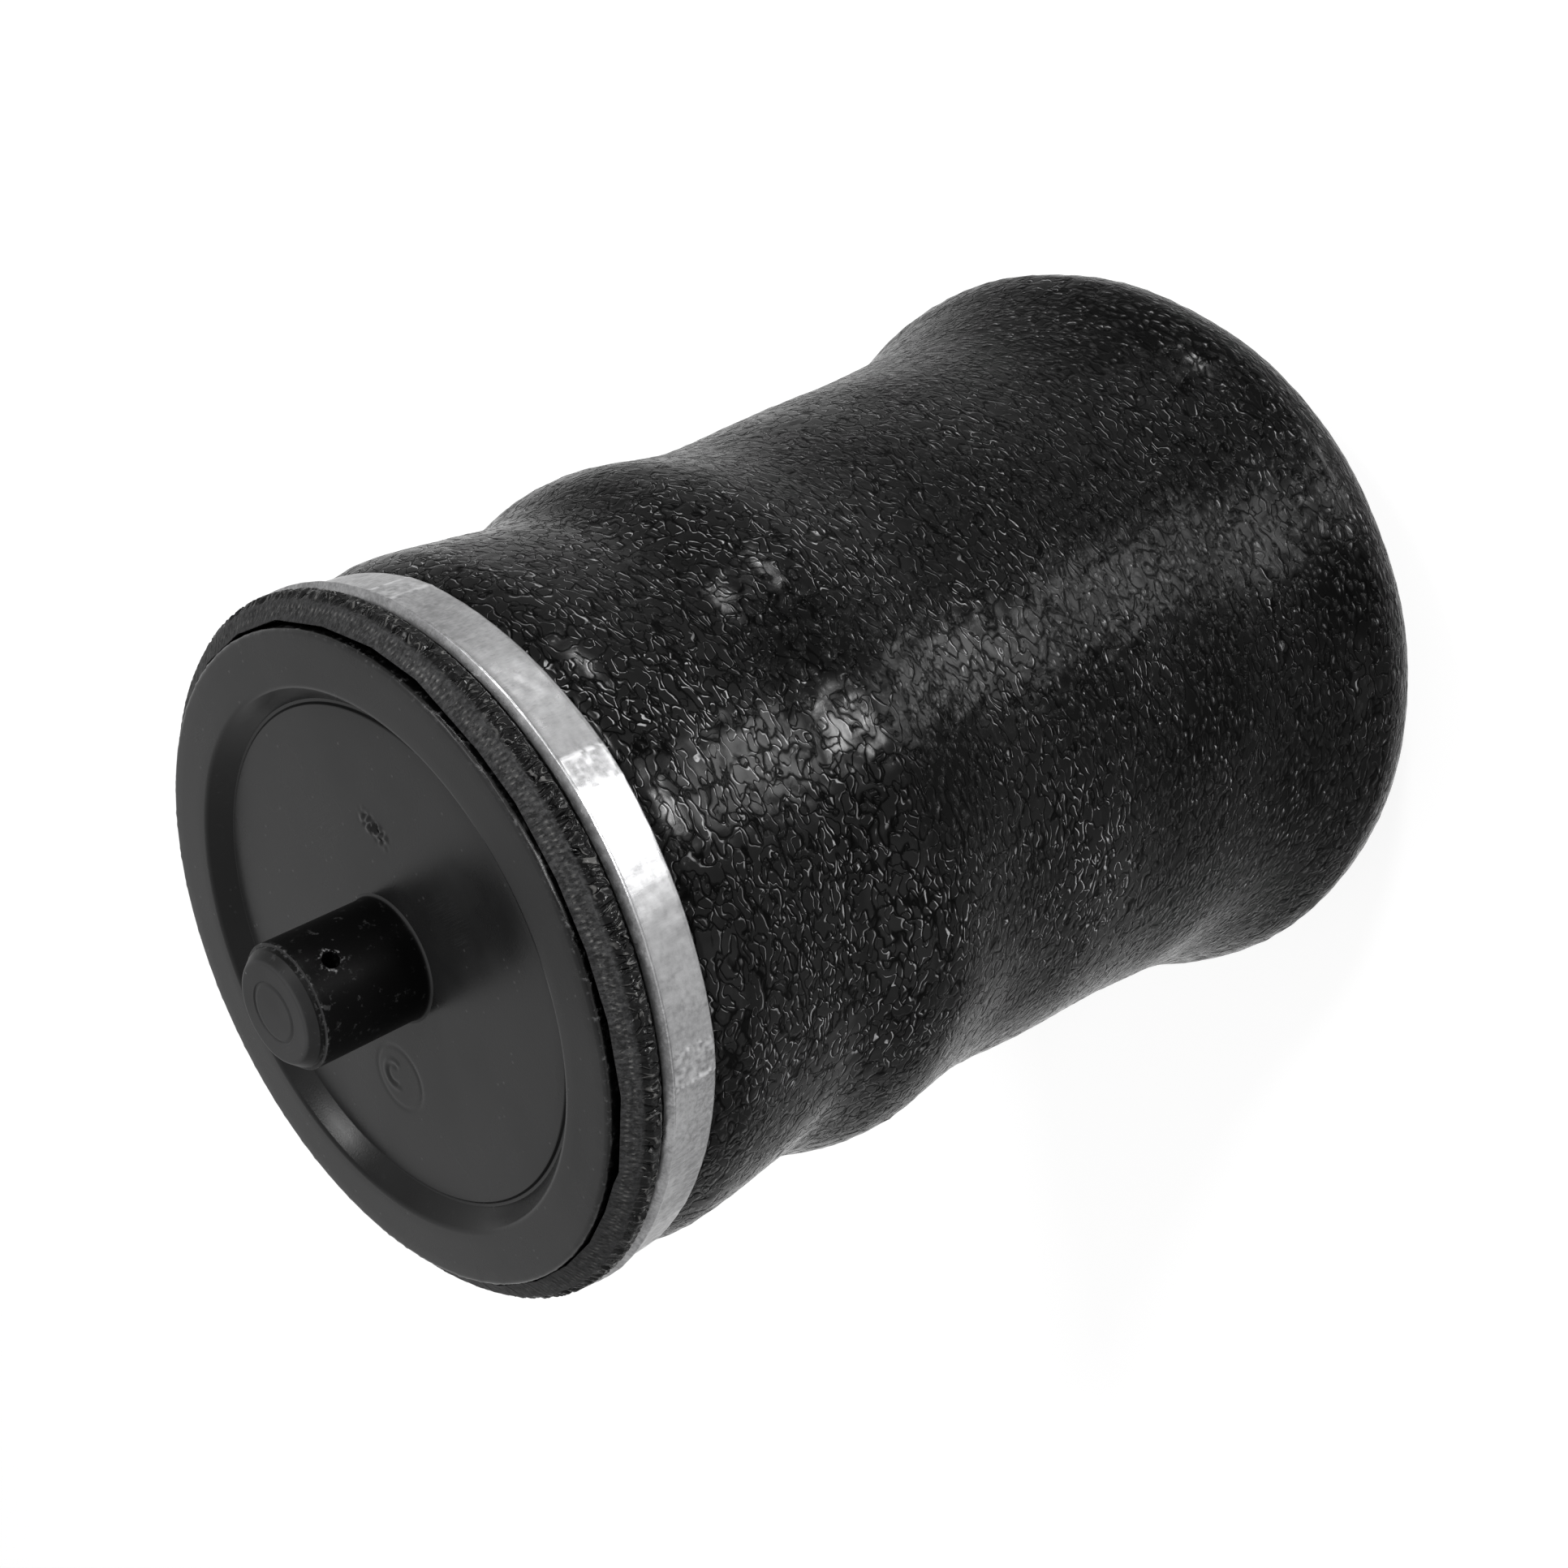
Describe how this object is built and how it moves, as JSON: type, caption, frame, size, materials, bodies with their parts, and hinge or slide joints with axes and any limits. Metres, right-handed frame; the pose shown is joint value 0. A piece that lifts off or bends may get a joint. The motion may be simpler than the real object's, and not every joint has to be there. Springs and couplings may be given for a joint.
{
  "type": "air suspension spring",
  "caption": "Rolling-lobe air spring: crimped rubber sleeve between a round end plate with a locating post and a ribbed piston with an air inlet.",
  "frame": {"origin": "centre of the piston's base, on the spring's axis", "axes": "+Z along the spring's axis, from the piston to the end plate's post"},
  "size_m": [0.1302, 0.1302, 0.203],
  "materials": {
    "plate_plastic": "dark grey moulded nylon, matt",
    "piston_plastic": "black glass-filled nylon, matt",
    "sleeve_rubber": "wrinkled black rubber, satin",
    "seal_rubber": "smooth black rubber",
    "stop_foam": "cellular polyurethane",
    "ring_aluminium": "swaged aluminium, brushed and mottled",
    "screw_steel": "zinc-plated steel",
    "insert_brass": "turned brass",
    "collet_plastic": "black acetal"
  },
  "bodies": {
    "piston_body": {"piston": "piston_plastic", "piston_hub": "piston_plastic", "piston_inlet": "piston_plastic", "piston_rib_1": "piston_plastic", "piston_rib_2": "piston_plastic", "piston_rib_3": "piston_plastic", "piston_rib_4": "piston_plastic", "piston_rib_5": "piston_plastic", "piston_rib_6": "piston_plastic", "piston_rib_7": "piston_plastic", "piston_rib_8": "piston_plastic", "piston_rib_9": "piston_plastic", "piston_rib_10": "piston_plastic", "piston_rib_11": "piston_plastic", "sleeve": "sleeve_rubber", "closure": "piston_plastic", "lower_crimp_ring": "ring_aluminium", "closure_seal": "seal_rubber", "closure_insert_1": "insert_brass", "closure_insert_2": "insert_brass", "closure_insert_3": "insert_brass", "closure_insert_4": "insert_brass", "closure_screw_1": "screw_steel", "closure_screw_2": "screw_steel", "closure_screw_3": "screw_steel", "closure_screw_4": "screw_steel", "base_insert": "insert_brass", "air_fitting": "insert_brass", "fitting_seal": "seal_rubber", "tube_seal": "seal_rubber", "collet_retainer": "screw_steel"},
    "plate_body": {"end_plate": "plate_plastic", "plate_rib_1": "plate_plastic", "plate_rib_2": "plate_plastic", "plate_rib_3": "plate_plastic", "plate_rib_4": "plate_plastic", "plate_rib_5": "plate_plastic", "plate_rib_6": "plate_plastic", "plate_rib_7": "plate_plastic", "plate_rib_8": "plate_plastic", "upper_crimp_ring": "ring_aluminium", "bump_stop": "stop_foam", "bump_stop_washer": "screw_steel", "bump_stop_screw": "screw_steel", "plate_insert": "insert_brass"},
    "collet_body": {"collet": "collet_plastic"}
  },
  "joints": [
    {"name": "stroke", "type": "slide", "parent": "piston_body", "child": "plate_body", "axis": [0, 0, 1], "range_m": [-0.012, 0.07], "stiffness_N_per_m": 3000, "springref_m": 0.001, "deforming": ["sleeve"]},
    {"name": "collet_release", "type": "slide", "parent": "piston_body", "child": "collet_body", "axis": [0, 0, 1], "range_m": [0, 0.0012], "stiffness_N_per_m": 200}
  ]
}
